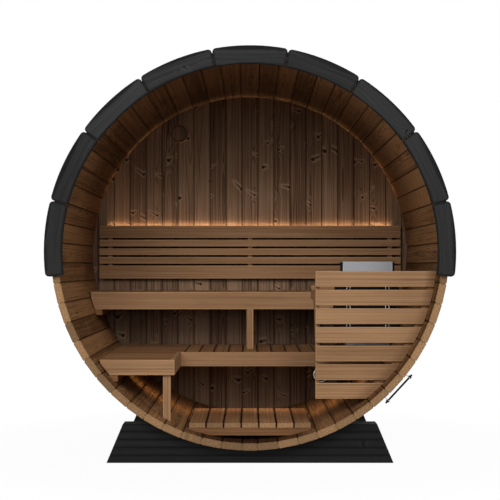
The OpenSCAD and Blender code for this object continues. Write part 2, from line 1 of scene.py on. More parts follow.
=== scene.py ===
"""Barrel sauna: planed timber, shingles, steel, heater and light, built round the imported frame."""

import itertools
import math
import random

import bmesh
import bpy
from mathutils import Matrix, Vector, noise


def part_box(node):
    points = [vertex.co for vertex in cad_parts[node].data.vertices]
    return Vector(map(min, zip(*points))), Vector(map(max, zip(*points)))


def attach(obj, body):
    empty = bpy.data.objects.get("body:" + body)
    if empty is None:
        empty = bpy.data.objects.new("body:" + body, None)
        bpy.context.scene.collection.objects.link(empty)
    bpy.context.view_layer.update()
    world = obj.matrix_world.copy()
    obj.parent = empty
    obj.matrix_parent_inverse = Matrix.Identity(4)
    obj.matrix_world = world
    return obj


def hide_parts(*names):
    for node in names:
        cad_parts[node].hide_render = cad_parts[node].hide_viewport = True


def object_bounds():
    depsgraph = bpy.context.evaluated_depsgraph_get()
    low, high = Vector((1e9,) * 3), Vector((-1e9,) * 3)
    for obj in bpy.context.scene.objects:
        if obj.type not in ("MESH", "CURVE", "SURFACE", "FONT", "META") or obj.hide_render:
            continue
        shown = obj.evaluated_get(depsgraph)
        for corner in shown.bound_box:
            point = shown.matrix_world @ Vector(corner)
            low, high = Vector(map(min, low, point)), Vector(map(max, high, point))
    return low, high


bl_info = {
    "name": "Barrel sauna",
    "version": (1, 0, 0),
    "blender": (4, 5, 0),
    "location": "3D View > Sidebar > Sauna",
    "description": "Dresses the frame of a barrel sauna with timber, roofing, steel and light",
    "category": "Object",
}

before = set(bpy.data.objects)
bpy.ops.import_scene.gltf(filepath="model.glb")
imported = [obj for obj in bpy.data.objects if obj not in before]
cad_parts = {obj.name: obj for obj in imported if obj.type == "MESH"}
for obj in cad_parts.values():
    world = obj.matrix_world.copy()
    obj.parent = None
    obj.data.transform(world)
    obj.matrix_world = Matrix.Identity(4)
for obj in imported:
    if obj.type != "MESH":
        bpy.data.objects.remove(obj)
CAD_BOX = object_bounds()

# The barrel's own measures, read from the frame
WALL_LOW, WALL_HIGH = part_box("back_wall")
AXIS_Z = (WALL_LOW.z + WALL_HIGH.z) / 2
WALL_FACE = WALL_LOW.y
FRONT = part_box("staves_top")[0].y
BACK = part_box("staves_top")[1].y
ROOF_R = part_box("roof_covering")[1].z - AXIS_Z
STAVE_MIDDLE_R = (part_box("staves_top")[1].z + WALL_HIGH.z) / 2 - AXIS_Z

STAVE_NODES = [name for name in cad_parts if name.startswith("staves_")]

CORNER = math.radians(25)  # Edges that turn further are corners
TONE_SPREAD = 0.75  # How far boards differ in tone, unless their timber says otherwise
END_SKIN = 0.0016  # Depth of the skin that counts as a sawn end
STAVE_INSIDE = (FRONT + 0.003, FRONT + 0.006)  # Where painted shade begins behind the staves' front ends
LOWER_BENCH_ZONE = (0.62, 0.58)  # Heights between which the painted shade on the lower bench begins

# What painted shade and painted shadow leave of a colour, and what the edge boards keep below the top
DEEP_HIGH_SHADE_TINT = (0.66, 0.77, 0.96)
BESIDE_GUARD_TINT = (0.4, 0.36, 0.34)
BELOW_GUARD_TINT = (0.4, 0.37, 0.35)
UNDER_GRATE_TINT = (0.25, 0.22, 0.2)
BEHIND_BACKREST_TINT = (0.2, 0.2, 0.2)
ROUND_VENT_TINT = (0.35, 0.35, 0.35)
BELOW_BENCH_TINT = (0.62, 0.62, 0.63)
BEHIND_GUARD_TINT = (0.4, 0.4, 0.4)
GUARD_END_TINT = (0.68, 0.66, 0.64)
VENT_RIM_TINT = (0.4, 0.4, 0.4)
BORE_TINT = (0.02, 0.02, 0.02)
EDGE_BOARD_TINT = (0.7, 0.7, 0.7)


def linear(colour):
    """A display colour as the linear values that shaders take."""
    return [c / 12.92 if c <= 0.04045 else ((c + 0.055) / 1.055) ** 2.4 for c in colour] + [1.0]


def shade(red, green, blue):
    """A display colour from the usual 0 to 255 scale."""
    return (red / 255, green / 255, blue / 255)


def colour_property(label, description, value):
    return bpy.props.FloatVectorProperty(
        name=label, description=description, subtype="COLOR_GAMMA", size=3, min=0, max=1, default=value
    )


def length_property(label, description, value):
    return bpy.props.FloatProperty(name=label, description=description, default=value, min=0, unit="LENGTH")


def amount_property(label, description, value, highest=1.0):
    return bpy.props.FloatProperty(name=label, description=description, default=value, min=0, max=highest)


class SaunaTimber(bpy.types.PropertyGroup):
    """Colours and figure of the bare timber."""

    stave_light: colour_property("Stave, light", "Early wood of the staves", shade(166, 122, 82))
    stave_dark: colour_property("Stave, dark", "Late wood of the staves", shade(87, 58, 35))
    wall_light: colour_property("Wall, light", "Early wood of the back wall", shade(156, 126, 101))
    wall_dark: colour_property("Wall, dark", "Late wood of the back wall", shade(85, 62, 46))
    bench_light: colour_property("Bench, light", "Early wood of benches and guard", shade(180, 140, 103))
    bench_dark: colour_property("Bench, dark", "Late wood of benches and guard", shade(127, 92, 63))
    slat_light: colour_property("Slats, light", "Early wood of bench and floor slats", shade(184, 138, 97))
    slat_dark: colour_property("Slats, dark", "Late wood of bench and floor slats", shade(126, 88, 58))
    frame_light: colour_property("Bearers, light", "Early wood of bearers and rib", shade(140, 100, 66))
    frame_dark: colour_property("Bearers, dark", "Late wood of bearers and rib", shade(84, 54, 34))
    end_grain: colour_property("End grain", "Sawn ends of the staves", shade(158, 125, 90))
    bench_end: colour_property("Bench end grain", "Sawn ends of the slats", shade(161, 125, 91))
    wall_knots: amount_property("Wall knots", "Share of places that carry a knot", 0.76)
    softwood_knots: amount_property("Softwood knots", "Share of places that carry a knot", 0.5)
    stain_knots: amount_property("Stained knots", "Share of places that carry a knot", 0.18)
    bench_knots: amount_property("Bench knots", "Share of places that carry a knot", 0.0)
    ring_pitch: length_property("Ring pitch", "Distance between two growth rings", 0.0075)


class SaunaFinish(bpy.types.PropertyGroup):
    """Colours of the stained, coated and metal pieces."""

    edge_stain: colour_property("Edge boards", "Charcoal stain of the edge boards", shade(43, 43, 43))
    cradle_stain: colour_property("Cradles", "Black stain of the cradles", shade(25, 25, 25))
    shingle: colour_property("Shingles", "Mineral coat of the shingles", shade(66, 66, 70))
    felt: colour_property("Felt", "Felt below the shingles", shade(30, 30, 32))
    steel: colour_property("Steel", "Bands, lugs and heater flanges", shade(146, 146, 148))
    rod_steel: colour_property("Rod steel", "Tension rods and their nuts", shade(22, 22, 23))
    heater_black: colour_property("Heater coat", "Black coat of the heater's shield", shade(12, 12, 13))
    heater_steel: colour_property("Heater steel", "Brushed steel of the core", shade(124, 125, 127))
    stone: colour_property("Stone", "Heater stones", shade(92, 88, 84))
    glow: colour_property("Glow", "Warm light of the strips", shade(255, 216, 170))


class SaunaSizes(bpy.types.PropertyGroup):
    """Sizes of the fine pieces."""

    slat_ease: length_property("Slat edge", "Rounding of bench, guard and floor slats", 0.0013)
    board_ease: length_property("Board edge", "Rounding of staves and wall boards", 0.0012)
    edge_ease: length_property("Edge board rounding", "Rounding of the charcoal edge boards", 0.004)
    edge_corner: length_property("Edge board corner", "Corner radius of the charcoal edge boards", 0.009)
    sheet_ease: length_property("Sheet edge", "Rounding of lugs and nuts", 0.0008)
    flange_width: length_property("Heater flange", "Width of the bright strips on the heater's core", 0.006)
    shingle_reach: length_property("Shingle course", "Visible height of one course", 0.145)
    shingle_width: length_property("Shingle tab", "Width of one shingle tab", 0.32)
    shingle_slot: length_property("Shingle slot", "Gap between two tabs", 0.007)
    shingle_thickness: length_property("Shingle thickness", "Thickness of one shingle", 0.0035)
    stone_size: length_property("Stone size", "Usual size of a heater stone", 0.07)


class SaunaStage(bpy.types.PropertyGroup):
    """Camera and studio."""

    camera_distance: length_property("Camera distance", "From the front ends of the staves", 6.473)
    eye_height: length_property("Eye height", "Height of the camera", 1.035)
    focal_pixels: bpy.props.FloatProperty(
        name="Focal length", description="Focal length in pixels of the frame", default=1253.0
    )
    horizon_drop: bpy.props.FloatProperty(
        name="Horizon drop", description="How far the horizon lies below the frame's middle, in pixels",
        default=16.0,
    )
    frame_pixels: bpy.props.FloatProperty(
        name="Frame", description="Width of the square frame in pixels", default=500.0
    )
    sky: amount_property("Sky", "Strength of the even light from all sides", 0.03, 4.0)
    key: amount_property("Key", "Power of the large lamp in front, in watts", 1220.0, 5000.0)
    strip: amount_property("Strips", "Power of a warm light strip, in watts", 1.0, 100.0)


def timber():
    return bpy.context.scene.sauna_timber


def finish():
    return bpy.context.scene.sauna_finish


def sizes():
    return bpy.context.scene.sauna_sizes


def studio():
    return bpy.context.scene.sauna_stage


class Wiring:
    """Places nodes in a tree and links them by socket name."""

    def __init__(self, tree):
        self.tree = tree

    def set(self, node, name, value):
        socket = node.inputs[name]
        if isinstance(value, bpy.types.NodeSocket):
            self.tree.links.new(value, socket)
        else:
            socket.default_value = value

    def node(self, kind, choices=None, **inputs):
        node = self.tree.nodes.new(kind)
        node.location = (180 * len(self.tree.nodes), 0)
        for name, value in (choices or {}).items():
            setattr(node, name, value)
        for name, value in inputs.items():
            self.set(node, name.replace("_", " "), value)
        return node

    def math(self, operation, first, second=0.0, third=0.0):
        node = self.node("ShaderNodeMath", {"operation": operation})
        for index, value in enumerate((first, second, third)):
            self.set(node, index, value)
        return node.outputs[0]

    def times(self, first, *others):
        for other in others:
            first = self.math("MULTIPLY", first, other)
        return first

    def scaled(self, value, by, plus):
        return self.math("MULTIPLY_ADD", value, by, plus)

    def vector(self, operation, first, second=(0, 0, 0)):
        node = self.node("ShaderNodeVectorMath", {"operation": operation})
        self.set(node, 0, first)
        if operation != "LENGTH":
            self.set(node, 1, second)
        return node.outputs["Value" if operation == "LENGTH" else "Vector"]

    def combine(self, x, y, z):
        return self.node("ShaderNodeCombineXYZ", X=x, Y=y, Z=z).outputs[0]

    def axes(self, vector):
        return self.node("ShaderNodeSeparateXYZ", Vector=vector).outputs

    def place(self):
        """Where a point lies on its piece."""
        return self.node("ShaderNodeTexCoord").outputs["Object"]

    def grey(self, value):
        return self.node("ShaderNodeCombineColor", Red=value, Green=value, Blue=value).outputs[0]

    def seen(self):
        """1 for rays that show a surface directly, in gloss or through glass, and 0 for bounced light."""
        path = self.node("ShaderNodeLightPath").outputs
        seen = self.math("MAXIMUM", path["Is Camera Ray"], path["Is Glossy Ray"])
        return self.math("MAXIMUM", seen, path["Is Transmission Ray"])

    def ramp(self, value, low, high):
        """0 below low and 1 above high, with soft ends. Low may be above high."""
        node = self.node("ShaderNodeMapRange", {"interpolation_type": "SMOOTHSTEP"})
        for name, item in (("Value", value), ("From Min", low), ("From Max", high)):
            self.set(node, name, item)
        return node.outputs["Result"]

    def noise(self, vector, scale=1.0, detail=2.0, roughness=0.5):
        node = self.node(
            "ShaderNodeTexNoise", Vector=vector, Scale=scale, Detail=detail, Roughness=roughness
        )
        return node.outputs["Fac"]

    def mix(self, amount, first, second, blend="MIX"):
        node = self.node("ShaderNodeMix", {"data_type": "RGBA", "blend_type": blend})
        self.set(node, 0, amount)
        self.set(node, 6, first)
        self.set(node, 7, second)
        return node.outputs[2]

    def attribute(self, name, output="Vector"):
        return self.node("ShaderNodeAttribute", {"attribute_name": name}).outputs[output]


def make_group(name, inputs, outputs):
    """An empty shader node group with typed sockets, and the wiring inside it."""
    tree = bpy.data.node_groups.new(name, "ShaderNodeTree")
    kinds = {"vector": "NodeSocketVector", "colour": "NodeSocketColor", "value": "NodeSocketFloat"}
    for label, kind in inputs:
        tree.interface.new_socket(label, in_out="INPUT", socket_type=kinds[kind])
    for label, kind in outputs:
        tree.interface.new_socket(label, in_out="OUTPUT", socket_type=kinds[kind])
    wires = Wiring(tree)
    return tree, wires, wires.node("NodeGroupInput").outputs, wires.node("NodeGroupOutput")


def grain_group():
    """Sawn timber: rings round a pith, streaks, fibres, cracks, and knots that the rings flow round."""
    if "Sawn timber" in bpy.data.node_groups:
        return bpy.data.node_groups["Sawn timber"]
    tree, w, given, out = make_group(
        "Sawn timber",
        [("Place", "vector"), ("Log", "vector"), ("Tone", "value"), ("Light", "colour"),
         ("Dark", "colour"), ("Knots", "value"), ("Ring pitch", "value"), ("Figure", "value"),
         ("Streaks", "value"), ("Bend", "value")],
        [("Colour", "colour"), ("Roughness", "value"), ("Height", "value")],
    )
    grain = w.vector("ADD", given["Place"], given["Log"])

    # One cell of this pattern holds at most one knot
    cell = Vector((0.27, 0.105, 0.0))
    place = w.vector("MULTIPLY", grain, (1 / cell.x, 1 / cell.y, 0.0))
    cells = w.node("ShaderNodeTexVoronoi", {"voronoi_dimensions": "2D"}, Vector=place, Scale=1.0)
    away = w.axes(w.vector("MULTIPLY", w.vector("SUBTRACT", place, cells.outputs["Position"]), cell))
    chance = w.node("ShaderNodeSeparateColor", Color=cells.outputs["Color"]).outputs
    present = w.math("LESS_THAN", chance[0], given["Knots"])

    def drawn(stride, span, least):
        """A value of the knot's own, from least to least plus span."""
        return w.scaled(w.math("FRACT", w.times(chance[1], stride)), span, least)

    def near_knot(distance, none, full):
        return w.times(w.ramp(distance, none, full), present)

    beside = w.math("ABSOLUTE", away[1])
    lean = drawn(13.7, 0.75, 0.2)
    size = drawn(5.3, 0.0075, 0.0065)
    # The two wings of a knot differ in length
    wing = w.scaled(w.math("SIGN", away[1]), drawn(29.3, 1.7, -0.85), 1.0)
    wing = w.times(w.scaled(chance[2], 0.032, 0.016), wing)
    rise = w.math("SUBTRACT", away[0], w.times(lean, beside))
    rise = w.math("POWER", w.math("DIVIDE", rise, size), 2.0)
    reach = w.math("POWER", w.math("DIVIDE", beside, wing), 2.0)

    def from_wings(flatness):
        """Distance from the knot's wings, which counts less along the grain for a small flatness."""
        return w.math("SQRT", w.scaled(rise, flatness, reach))

    heart = w.math("DIVIDE", w.vector("LENGTH", w.combine(away[0], away[1], 0.0)), size)
    heart = near_knot(heart, 1.0, 0.7)
    knot = w.math("MAXIMUM", heart, w.times(near_knot(from_wings(1.6), 1.1, 0.5), 0.75))
    rim = near_knot(from_wings(0.3), 1.35, 0.8)
    halo = near_knot(from_wings(0.06), 2.2, 0.4)

    def along(stretch, detail, roughness=0.5):
        """Noise that is stretched along the grain."""
        return w.noise(w.vector("MULTIPLY", grain, stretch), detail=detail, roughness=roughness)

    from_pith = w.vector("LENGTH", w.vector("MULTIPLY", grain, (0.0, 1.0, 1.0)))
    bent = w.scaled(along((0.9, 5.0, 5.0), 1.0), given["Bend"], from_pith)
    bent = w.scaled(along((4.0, 30.0, 30.0), 1.0), 0.005, bent)
    bent = w.scaled(halo, 0.009, bent)
    ring = w.math("FRACT", w.math("DIVIDE", bent, given["Ring pitch"]))
    late = w.math("POWER", ring, 2.6)
    streak = along(w.combine(0.8, given["Streaks"], given["Streaks"]), 3.0, 0.6)
    fibre = along((7.0, 480.0, 480.0), 2.0)
    blotch = along((1.6, 3.0, 3.0), 2.0)
    split = w.math("ABSOLUTE", w.math("SUBTRACT", along((0.9, 20.0, 20.0), 0.0), 0.5))
    where = w.ramp(along((2.4, 9.0, 9.0), 0.0), 0.63, 0.72)
    split = w.times(w.ramp(split, 0.022, 0.006), where, given["Knots"])

    figure = w.times(late, 0.42)
    for pattern, share in ((streak, 1.5), (fibre, 0.45), (blotch, 0.7)):
        figure = w.scaled(w.math("SUBTRACT", pattern, 0.5), share, figure)
    figure = w.scaled(figure, given["Figure"], given["Tone"])
    figure = w.scaled(rim, -0.55, figure)
    depth = w.node("ShaderNodeClamp", Value=figure).outputs[0]
    colour = w.mix(depth, given["Light"], given["Dark"])
    burnt = w.mix(1.0, given["Dark"], (0.12, 0.1, 0.09, 1.0), "MULTIPLY")
    flaw = w.math("MAXIMUM", w.times(knot, 0.92), w.times(split, 0.8))
    w.set(out, "Colour", w.mix(flaw, colour, burnt))
    w.set(out, "Roughness", w.scaled(fibre, 0.18, 0.5))
    height = w.scaled(late, 0.5, w.times(fibre, 0.5))
    w.set(out, "Height", w.scaled(flaw, -0.8, height))
    return tree


def edge_group():
    """How near a point is to its board's edges: 1 on the edge, 0 from the given reach inwards."""
    if "Board edge" in bpy.data.node_groups:
        return bpy.data.node_groups["Board edge"]
    tree, w, given, out = make_group(
        "Board edge", [("Place", "vector"), ("Half", "vector"), ("Reach", "value")], [("Edge", "value")]
    )
    inside = w.vector("SUBTRACT", given["Half"], w.vector("ABSOLUTE", given["Place"]))
    a, b, c = w.axes(inside)
    # On a face one distance is zero, so the middle one of the three is the distance to an edge
    between = w.math("MINIMUM", w.math("MAXIMUM", a, b), c)
    nearest = w.math("MAXIMUM", w.math("MINIMUM", a, b), between)
    uneven = w.noise(w.vector("MULTIPLY", given["Place"], (14.0, 40.0, 40.0)), detail=2.0)
    reach = w.times(given["Reach"], w.math("ADD", uneven, 0.5))
    w.set(out, "Edge", w.ramp(nearest, reach, 0.0))
    return tree


def new_material(name):
    """An empty material with its shader and wiring."""
    material = bpy.data.materials.new(name)
    material.use_nodes = True
    material.node_tree.nodes.clear()
    w = Wiring(material.node_tree)
    shader = w.node("ShaderNodeBsdfPrincipled")
    w.node("ShaderNodeOutputMaterial", Surface=shader.outputs[0])
    return material, w, shader


def made_once(build):
    """Lets a function that builds a material hand out the one it has already made under that name."""
    def material(name, *values, **choices):
        return bpy.data.materials.get(name) or build(name, *values, **choices)
    return material


def add_bump(w, shader, height, distance, strength):
    bump = w.node("ShaderNodeBump", Height=height, Distance=distance, Strength=strength)
    w.set(shader, "Normal", bump.outputs[0])


def sawn(w, light, dark, knots, figure=1.0, streaks=60.0, bend=0.055, spread=TONE_SPREAD):
    """The grain group, reading the piece's own boards.

    Streaks are counted per metre across the grain, and spread is how far the boards differ in tone.
    """
    tone = w.scaled(w.attribute("tone", "Fac"), spread, (TONE_SPREAD - spread) / 2)
    return w.node(
        "ShaderNodeGroup", {"node_tree": grain_group()},
        Place=w.attribute("place"), Log=w.attribute("log"), Tone=tone,
        Light=linear(light), Dark=linear(dark), Knots=knots,
        Ring_pitch=timber().ring_pitch, Figure=figure, Streaks=streaks, Bend=bend,
    ).outputs


def board_edge(w, reach):
    """The edge group, reading the piece's own boards."""
    return w.node(
        "ShaderNodeGroup", {"node_tree": edge_group()},
        Place=w.attribute("place"), Half=w.attribute("half"), Reach=reach,
    ).outputs["Edge"]


def sawn_end(w):
    """1 on the two sawn ends of a board, 0 elsewhere."""
    inside = w.vector("SUBTRACT", w.attribute("half"), w.vector("ABSOLUTE", w.attribute("place")))
    return w.ramp(w.axes(inside)[0], END_SKIN, END_SKIN / 2)


def from_line(w, x, z, cx, cz):
    """Distance from a line that runs along Y."""
    return w.vector("LENGTH", w.combine(w.math("SUBTRACT", x, cx), 0.0, w.math("SUBTRACT", z, cz)))


def between(w, value, start, full, last, end):
    """1 from full to last, 0 before start and after end."""
    return w.times(w.ramp(value, start, full), w.ramp(value, end, last))


def from_rim(w, x, z, vent):
    """Distance outwards from the rim of a round vent."""
    low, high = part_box(vent)
    middle = (low + high) / 2
    return w.math("SUBTRACT", from_line(w, x, z, middle.x, middle.z), (high.x - low.x) / 2)


def tinted(w, colour, tint, *amounts):
    """A colour multiplied by a tint, as far as all the amounts together allow."""
    return w.mix(w.times(*amounts), colour, (*tint, 1.0), "MULTIPLY")


def shaded_staves(w, colour):
    """Staves with painted shade inside: deep in the barrel and high up, round the guard and under the
    grate.
    """
    x, y, z = w.axes(w.place())
    inner = w.ramp(from_line(w, x, z, 0.0, AXIS_Z), STAVE_MIDDLE_R + 0.003, STAVE_MIDDLE_R - 0.003)
    high = w.ramp(z, AXIS_Z + 0.2, AXIS_Z + 0.9)
    deep = w.ramp(y, FRONT + 0.2, FRONT + 1.15)
    # Painted shade deep in the barrel and high up
    colour = tinted(w, colour, DEEP_HIGH_SHADE_TINT, inner, high, deep)
    near = between(w, y, *STAVE_INSIDE, FRONT + 0.05, FRONT + 0.16)
    low = w.ramp(z, AXIS_Z + 0.1, AXIS_Z - 0.15)
    # Painted shade on the staves beside the guard
    colour = tinted(w, colour, BESIDE_GUARD_TINT, inner, near, w.ramp(x, 0.4, 0.65), low)
    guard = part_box("guard_slats")[0].z
    near = between(w, y, FRONT + 0.1, FRONT + 0.16, FRONT + 0.5, FRONT + 0.9)
    low = between(w, z, guard - 0.13, guard - 0.02, guard, guard + 0.05)
    # Painted shadow on the staves below the guard's lowest slat
    colour = tinted(w, colour, BELOW_GUARD_TINT, inner, near, w.ramp(x, 0.42, 0.6), low)
    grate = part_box("floor_slats")[0].z
    near = between(w, y, *STAVE_INSIDE, FRONT + 0.3, FRONT + 0.5)
    # Painted shade on the staves under the floor grate
    return tinted(w, colour, UNDER_GRATE_TINT, inner, near, w.ramp(z, grate - 0.005, grate - 0.04))


def shaded_wall(w, colour):
    """A wall with painted shade inside: behind the backrest and below the benches, and a painted shadow
    round the steel vent.
    """
    x, y, z = w.axes(w.place())
    inner = w.ramp(y, WALL_FACE + 0.012, WALL_FACE + 0.006)
    low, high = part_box("backrest_slats")
    rows = between(w, z, low.z - 0.035, low.z + 0.01, high.z - 0.05, high.z - 0.03)
    width = w.ramp(w.math("ABSOLUTE", x), high.x, high.x - 0.04)
    # Painted shade on the wall behind the backrest
    colour = tinted(w, colour, BEHIND_BACKREST_TINT, inner, rows, width)
    ring = w.ramp(from_rim(w, x, z, "steel_vent"), 0.016, 0.004)
    # Painted shadow on the wall round the steel vent
    colour = tinted(w, colour, ROUND_VENT_TINT, inner, ring)
    upper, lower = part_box("upper_bench_slats")[0].z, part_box("lower_bench_slats")[1].z
    # The painted shade is weaker below the lower bench, where the light strip reaches
    weaker = w.scaled(w.ramp(z, lower - 0.1, lower), 0.3, 0.7)
    return tinted(w, colour, BELOW_BENCH_TINT, inner, w.ramp(z, upper + 0.02, upper - 0.06), weaker)


def shaded_bench(w, colour):
    """Bench timber with the guard's shade painted on: close behind its slats, at their right ends and on
    the bench.
    """
    x, y, z = w.axes(w.place())
    low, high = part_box("guard_slats")
    close = between(w, y, high.y - 0.006, high.y, high.y + 0.06, high.y + 0.09)
    right, under = w.ramp(x, low.x, low.x + 0.03), w.ramp(z, high.z, high.z - 0.01)
    # Painted shade close behind the guard's slats
    colour = tinted(w, colour, BEHIND_GUARD_TINT, close, right, under)
    ends = w.ramp(from_line(w, x, z, 0.0, AXIS_Z), high.x - 0.06, high.x)
    right, face = w.ramp(x, low.x, low.x + 0.1), w.ramp(y, high.y, high.y - 0.002)
    # Painted shade at the right ends of the guard's slats
    colour = tinted(w, colour, GUARD_END_TINT, ends, right, face)
    right, behind = w.ramp(x, low.x + 0.02, low.x + 0.12), w.ramp(y, high.y, high.y + 0.01)
    # Painted shade on the bench behind the guard
    return tinted(w, colour, BEHIND_GUARD_TINT, right, w.ramp(z, *LOWER_BENCH_ZONE), behind)


def shaded_vent(w, colour):
    """A wooden vent with a painted shadow just inside its rim."""
    x, _, z = w.axes(w.place())
    rim = from_rim(w, x, z, "wood_vent")
    return tinted(w, colour, VENT_RIM_TINT, between(w, rim, -0.014, -0.011, -0.008, -0.005))


def shaded_bore(w, colour):
    """A steel vent with painted shade: black inside the bright rim on the room side."""
    x, y, z = w.axes(w.place())
    bore = w.ramp(from_rim(w, x, z, "steel_vent"), -0.005, -0.0065)
    return tinted(w, colour, BORE_TINT, bore, w.ramp(y, WALL_FACE + 0.01, WALL_FACE))


def stain_darker_lower(w, colour):
    """A stain that is darker lower down and lighter towards the top of the barrel."""
    height = w.axes(w.place())[2]
    return tinted(w, colour, EDGE_BOARD_TINT, w.ramp(height, AXIS_Z + ROOF_R, AXIS_Z + 0.3))


@made_once
def timber_material(name, light, dark, knots, wear, reach=0.005, end=None, shading=None, rub=None,
                    **figure):
    """Planed bare timber with its own end grain, dark along the edges of each board, or with a painted
    highlight there where a painted edge light is given.
    """
    material, w, shader = new_material(name)
    grain = sawn(w, light, dark, knots, **figure)
    colour = grain["Colour"]
    edge = w.times(board_edge(w, reach), wear)
    if end is not None:
        ends = sawn_end(w)
        colour = w.mix(w.times(ends, 0.7), colour, linear(end))
        pores = w.scaled(w.noise(w.attribute("place"), scale=190.0, detail=1.0), 1.8, 0.1)
        own = w.scaled(w.attribute("tone", "Fac"), -0.5, 1.25)
        pores = w.grey(w.times(w.math("MAXIMUM", pores, 0.3), own))
        colour = w.mix(ends, colour, pores, "MULTIPLY")
        edge = w.times(edge, w.scaled(ends, -0.82, 1.0))
    # Board edges darken, or carry a painted highlight where a painted edge light is given
    colour = w.mix(edge, colour, linear(rub or [c * 0.3 for c in dark]))
    w.set(shader, "Base Color", shading(w, colour) if shading else colour)
    w.set(shader, "Roughness", grain["Roughness"])
    w.set(shader, "Specular IOR Level", 0.05)
    add_bump(w, shader, grain["Height"], distance=0.0006, strength=0.6)
    return material


@made_once
def stained_material(name, stain, knots, lift, shading=None):
    """Timber under an opaque dark stain: the grain shows as relief and as a faint tone."""
    material, w, shader = new_material(name)
    pale = [min(1.0, c * (1 + lift)) for c in stain]
    deep = [c * (1 - lift) for c in stain]
    grain = sawn(w, pale, deep, knots)
    edge = w.times(board_edge(w, 0.015), 0.95)
    colour = w.mix(edge, grain["Colour"], linear([c * 0.2 for c in stain]))
    w.set(shader, "Base Color", shading(w, colour) if shading else colour)
    w.set(shader, "Roughness", w.math("ADD", grain["Roughness"], 0.12))
    w.set(shader, "Specular IOR Level", 0.12)
    add_bump(w, shader, grain["Height"], distance=0.0008, strength=0.7)
    return material


@made_once
def metal_material(name, colour, roughness, brushed, metallic=1.0, specular=0.5, shading=None):
    """Brushed or polished metal: fine lines along one direction and slight smudges."""
    material, w, shader = new_material(name)
    place = w.place()
    lines = w.noise(w.vector("MULTIPLY", place, brushed), detail=2.0)
    smudge = w.noise(place, scale=9.0, detail=3.0)
    colour = w.mix(1.0, linear(colour), w.grey(w.scaled(smudge, 0.22, 0.89)), "MULTIPLY")
    w.set(shader, "Base Color", shading(w, colour) if shading else colour)
    rough = w.scaled(lines, 0.16, roughness - 0.08)
    w.set(shader, "Roughness", w.scaled(smudge, 0.08, rough))
    w.set(shader, "Metallic", metallic)
    w.set(shader, "Specular IOR Level", specular)
    add_bump(w, shader, lines, distance=0.0002, strength=0.25)
    return material


@made_once
def granule_material(name, colour):
    """Mineral granules of shingles, felt and stones: speckled, one shade per piece, rough."""
    material, w, shader = new_material(name)
    place = w.place()
    grit = w.node("ShaderNodeTexVoronoi", Vector=place, Scale=420.0)
    speck = w.node("ShaderNodeSeparateColor", Color=grit.outputs["Color"]).outputs[0]
    patch = w.noise(place, scale=5.0, detail=3.0)
    tone = w.scaled(w.attribute("tone", "Fac"), 0.45, 0.55)
    tone = w.scaled(speck, 0.55, tone)
    tone = w.scaled(patch, 0.3, w.math("SUBTRACT", tone, 0.15))
    w.set(shader, "Base Color", w.mix(1.0, linear(colour), w.grey(tone), "MULTIPLY"))
    w.set(shader, "Roughness", 0.92)
    w.set(shader, "Specular IOR Level", 0.2)
    add_bump(w, shader, grit.outputs["Distance"], distance=0.0012, strength=0.6)
    return material


def islands(bm):
    """The separate solids of a mesh, as lists of vertices."""
    left = set(bm.verts)
    found = []
    while left:
        stack = [left.pop()]
        island = []
        while stack:
            vert = stack.pop()
            island.append(vert)
            for edge in vert.link_edges:
                other = edge.other_vert(vert)
                if other in left:
                    left.remove(other)
                    stack.append(other)
        found.append(island)
    return sorted(found, key=lambda part: min(tuple(round(c, 4) for c in v.co) for v in part))


def turned(co):
    """Where a point lies round the barrel: its angle from the top, and its distance from the axis."""
    return math.atan2(co.x, co.z - AXIS_Z), math.hypot(co.x, co.z - AXIS_Z)


def corners(points):
    """The lowest and the highest corner of the box round some points."""
    return [Vector([pick(p[i] for p in points) for i in range(3)]) for pick in (min, max)]


def board_frame(island, run):
    """A function from a point to its place along, across and through the board that it belongs to."""
    low, high = corners([v.co for v in island])
    middle = (low + high) / 2
    if run == "stave":
        angle = turned(middle)[0]
        across = Vector((math.cos(angle), 0, -math.sin(angle)))
        through = Vector((math.sin(angle), 0, math.cos(angle)))
        return lambda co: Vector((co.y, (co - middle).dot(across), (co - middle).dot(through)))
    if run == "arc":
        return lambda co: Vector((turned(co)[0] * turned(middle)[1], turned(co)[1], co.y))
    long_side = max(range(3), key=lambda i: high[i] - low[i])
    along = long_side if run == "long" else "xyz".index(run)
    sides = sorted((i for i in range(3) if i != along), key=lambda i: low[i] - high[i])
    return lambda co: Vector((co[along], co[sides[0]], co[sides[1]]))


def write_boards(bm, run, seed, rift=False, pale=0.0):
    """Tells each solid where it lies in its own board, as if sawn from its own log, and its own tone.

    A rift-sawn board comes from beside the pith, so its rings run as straight lines along its faces.
    Pale boards have less late wood; pieces get them as painted light, to look more lit.
    """
    dice = random.Random(seed)
    place, half, log = (bm.verts.layers.float_vector.new(name) for name in ("place", "half", "log"))
    tone = bm.verts.layers.float.new("tone")
    for island in islands(bm):
        to_board = board_frame(island, run)
        spots = [to_board(v.co) for v in island]
        low, high = corners(spots)
        # A tongue lies deep between the faces, so the width is taken near them
        skin = (high.z - low.z) * 0.2
        near = [p.y for p in spots if min(p.z - low.z, high.z - p.z) < skin]
        low.y, high.y = min(near), max(near)
        pith = Vector((dice.uniform(0, 60), dice.uniform(-0.04, 0.04), dice.uniform(0.012, 0.075)))
        if rift:
            pith.y = dice.uniform(0.08, 0.16)
        own = dice.random() - pale
        for vert, spot in zip(island, spots):
            vert[place] = spot - (low + high) / 2
            vert[half] = (high - low) / 2
            vert[log] = pith
            vert[tone] = own


def merged_copy(node):
    """A bmesh of a CAD node with its loose triangles joined into flat faces."""
    bm = bmesh.new()
    bm.from_mesh(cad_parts[node].data)
    bmesh.ops.remove_doubles(bm, verts=bm.verts, dist=1e-5)
    bmesh.ops.dissolve_limit(bm, angle_limit=math.radians(0.2), verts=bm.verts, edges=bm.edges)
    return bm


